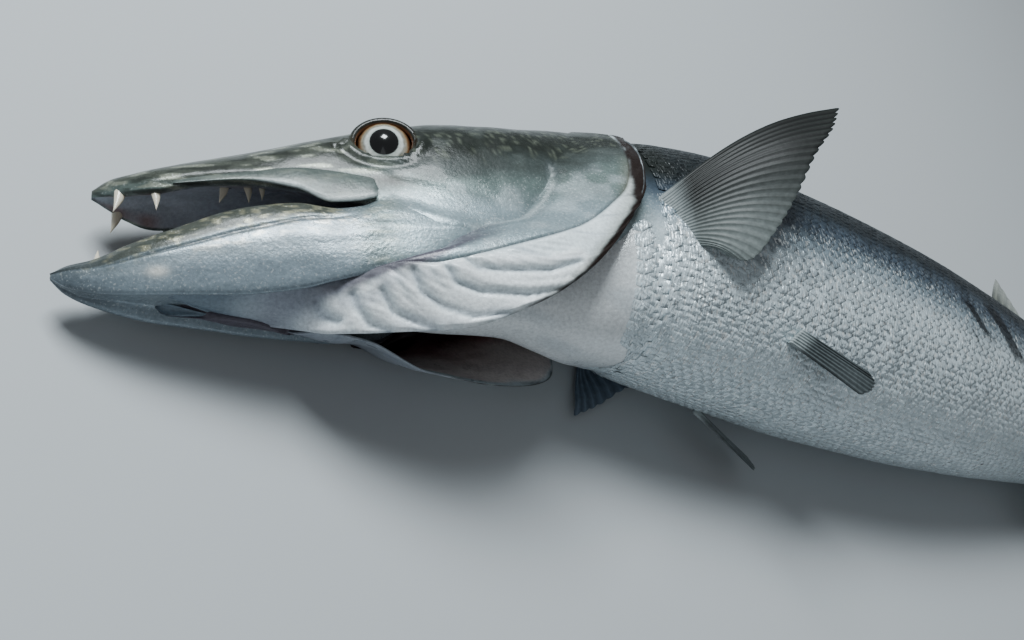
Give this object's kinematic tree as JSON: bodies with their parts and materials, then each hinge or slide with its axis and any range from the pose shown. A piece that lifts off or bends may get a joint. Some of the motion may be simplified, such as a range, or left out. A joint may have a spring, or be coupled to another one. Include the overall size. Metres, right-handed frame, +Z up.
{
  "type": "barracuda model",
  "caption": "Life-size still model of a whole great barracuda lying on its right side, mouth and gill flaps open",
  "frame": {"origin": "centre of the bottom of the bounding box, on the surface the fish lies on", "axes": "+X towards the tail, +Y towards the back fins, +Z up through the left side of the fish"},
  "size_m": [1.0674, 0.2778, 0.1606],
  "materials": {
    "flank_skin": "wet silver skin",
    "head_skin": "wet olive grey skin",
    "jaw_skin": "wet silver grey skin",
    "pale_skin": "wet white skin",
    "mouth": "wet",
    "fin": "thin satin",
    "eye": "glossy"
  },
  "bodies": {
    "root": {"shoulder": "flank_skin", "torso_front": "flank_skin", "torso_middle": "flank_skin", "torso_rear": "flank_skin", "tail_base": "flank_skin", "eye_left": "eye", "eye_right": "eye", "head": "head_skin", "upper_jaw": "head_skin", "lower_jaw": "jaw_skin", "tongue": "mouth", "maxilla_left": "head_skin", "maxilla_right": "head_skin", "throat": "pale_skin", "gill_cover_left": "flank_skin", "gill_cover_right": "flank_skin", "gill_membrane_left": "pale_skin", "gill_membrane_right": "pale_skin", "caudal_fin": "fin", "second_dorsal_fin": "fin", "anal_fin": "fin", "first_dorsal_fin": "fin", "pectoral_fin_left": "fin", "pectoral_fin_right": "fin", "pelvic_fin_left": "fin", "pelvic_fin_right": "fin"}
  },
  "joints": []
}
